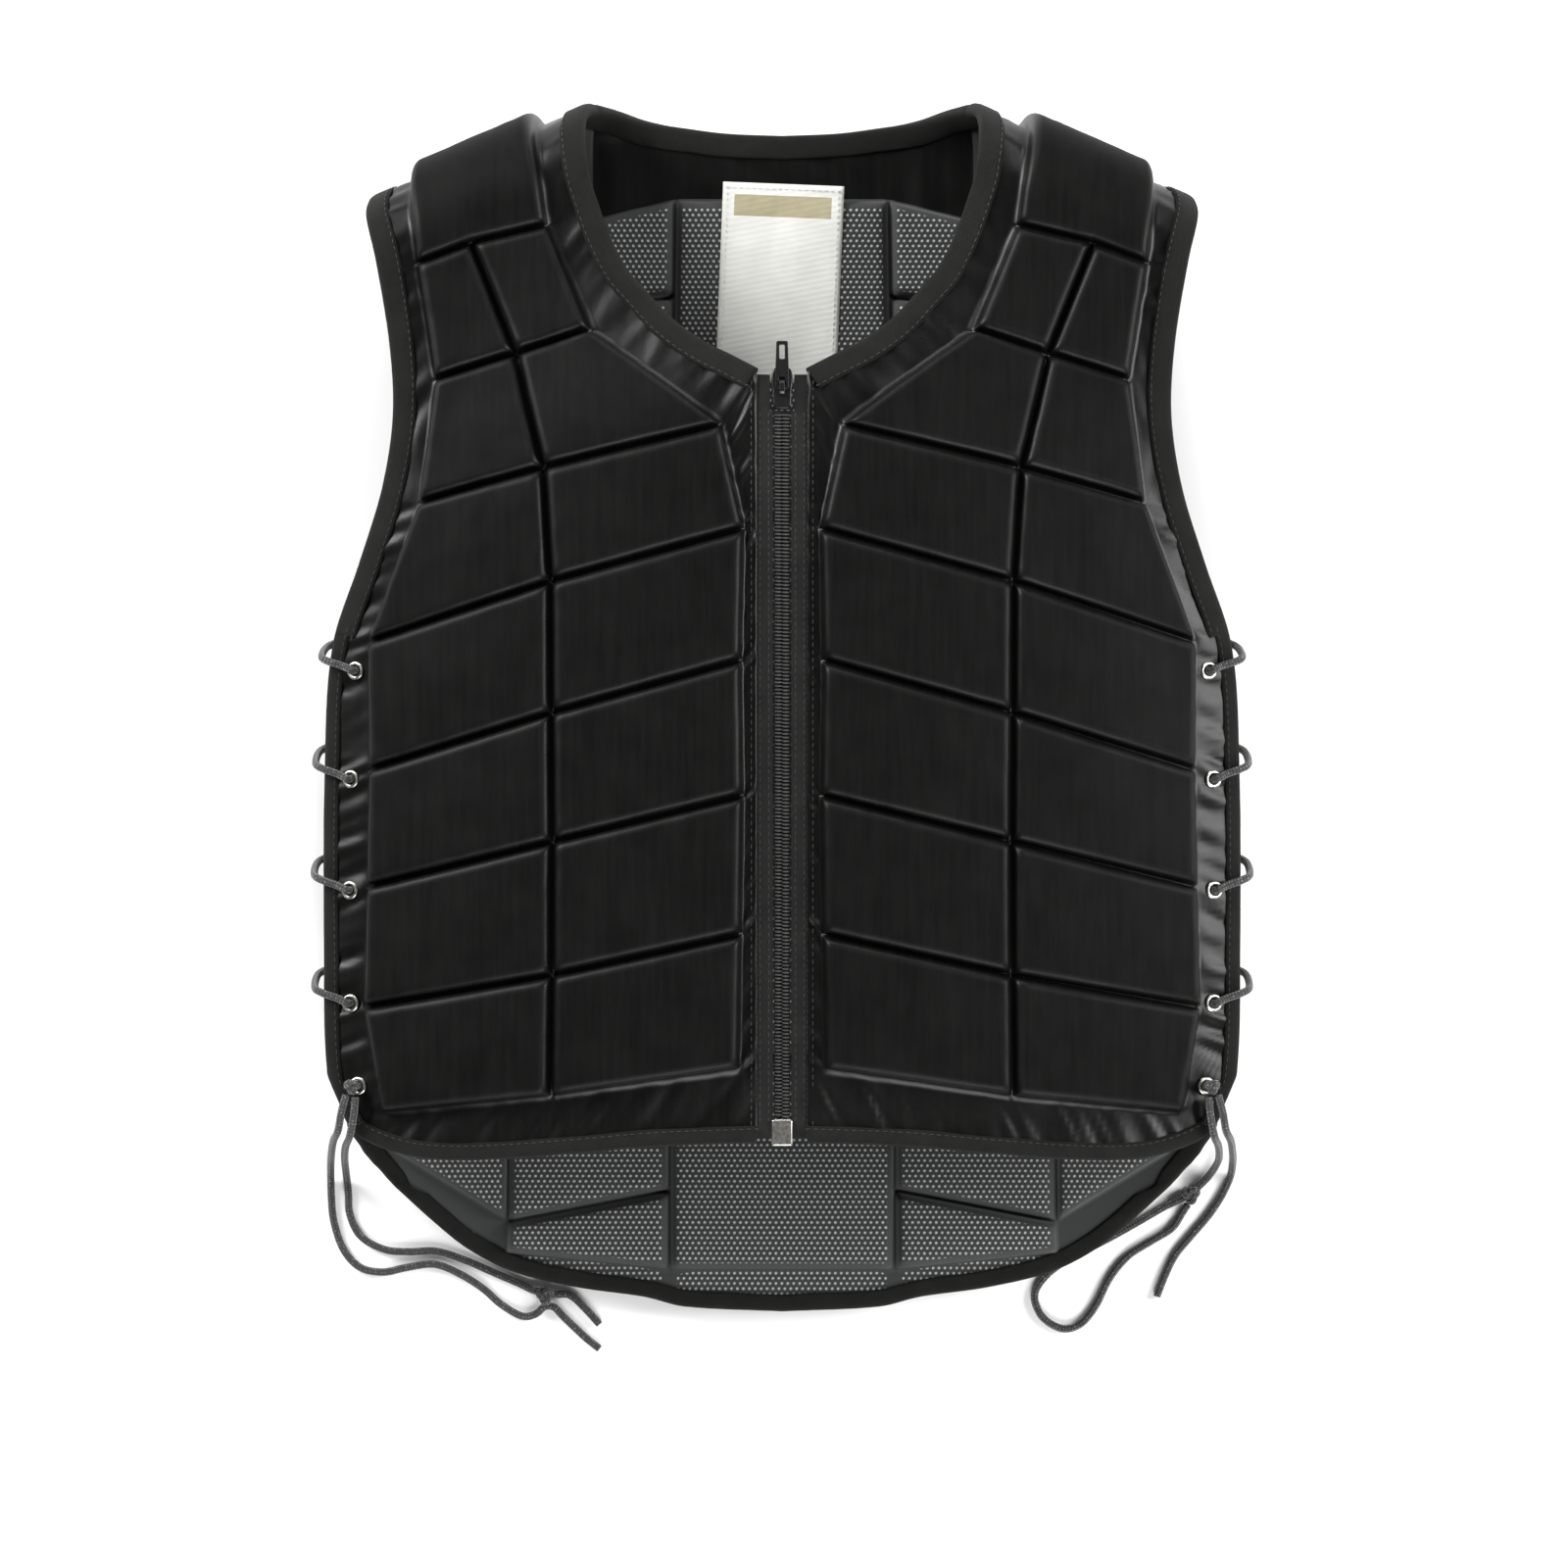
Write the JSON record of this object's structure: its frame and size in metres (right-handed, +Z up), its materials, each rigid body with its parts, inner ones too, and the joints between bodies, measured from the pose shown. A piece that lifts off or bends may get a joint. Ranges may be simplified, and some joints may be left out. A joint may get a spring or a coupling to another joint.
{
  "type": "riding body protector",
  "caption": "Child's quilted foam riding vest: front zip, bound neck, armholes and hems, and laced sides tied in bows, lying flat on its back.",
  "frame": {"origin": "on the lowest face of the back, at the middle of its width and half way from the back hem to the shoulder tops", "axes": "+Y towards the neck, +Z up out of the front with the vest lying on its back, +X towards the wearer's left"},
  "size_m": [0.3968, 0.5266, 0.1008],
  "materials": {
    "cloth": "black satin-faced cloth over foam",
    "binding": "matt woven tape",
    "zip_tape": "matt woven tape",
    "zip_coil": "satin nylon coil",
    "nickel": "bright nickel plate",
    "black_metal": "gloss black enamel",
    "lace": "braided polyester cord",
    "label": "white satin ribbon"
  },
  "bodies": {
    "vest": {"front_left_panel": "cloth", "front_right_panel": "cloth", "back_panel": "cloth", "neck_binding": "binding", "armhole_binding_left": "binding", "armhole_binding_right": "binding", "front_edge_binding_left": "binding", "front_edge_binding_right": "binding", "back_edge_binding": "binding", "eyelet_front_left_1": "nickel", "eyelet_front_left_2": "nickel", "eyelet_front_left_3": "nickel", "eyelet_front_left_4": "nickel", "eyelet_front_left_5": "nickel", "eyelet_front_right_1": "nickel", "eyelet_front_right_2": "nickel", "eyelet_front_right_3": "nickel", "eyelet_front_right_4": "nickel", "eyelet_front_right_5": "nickel", "eyelet_back_left_1": "nickel", "eyelet_back_left_2": "nickel", "eyelet_back_left_3": "nickel", "eyelet_back_left_4": "nickel", "eyelet_back_left_5": "nickel", "eyelet_back_right_1": "nickel", "eyelet_back_right_2": "nickel", "eyelet_back_right_3": "nickel", "eyelet_back_right_4": "nickel", "eyelet_back_right_5": "nickel", "zip_tape_left": "zip_tape", "zip_tape_right": "zip_tape", "zip_chain": "zip_coil", "zip_box": "nickel", "zip_slider": "black_metal", "label": "label", "lacing_left": "lace", "lacing_right": "lace", "bow_right_outer": "lace", "bow_right_inner": "lace", "bow_right_tail_long": "lace", "bow_right_tail_short": "lace", "bow_left_tail": "lace", "bow_left_strand": "lace", "bow_left_loop": "lace", "bow_knot_right": "lace", "bow_knot_left": "lace", "side_knot_left": "lace", "side_knot_right": "lace"},
    "zip_pull": {"zip_pull": "black_metal"}
  },
  "joints": [
    {"name": "pull_hinge", "type": "hinge", "parent": "vest", "child": "zip_pull", "pos_m": [0, 0.13284, 0.09048], "axis": [1, 0, 0], "range_deg": [0, 165]}
  ]
}
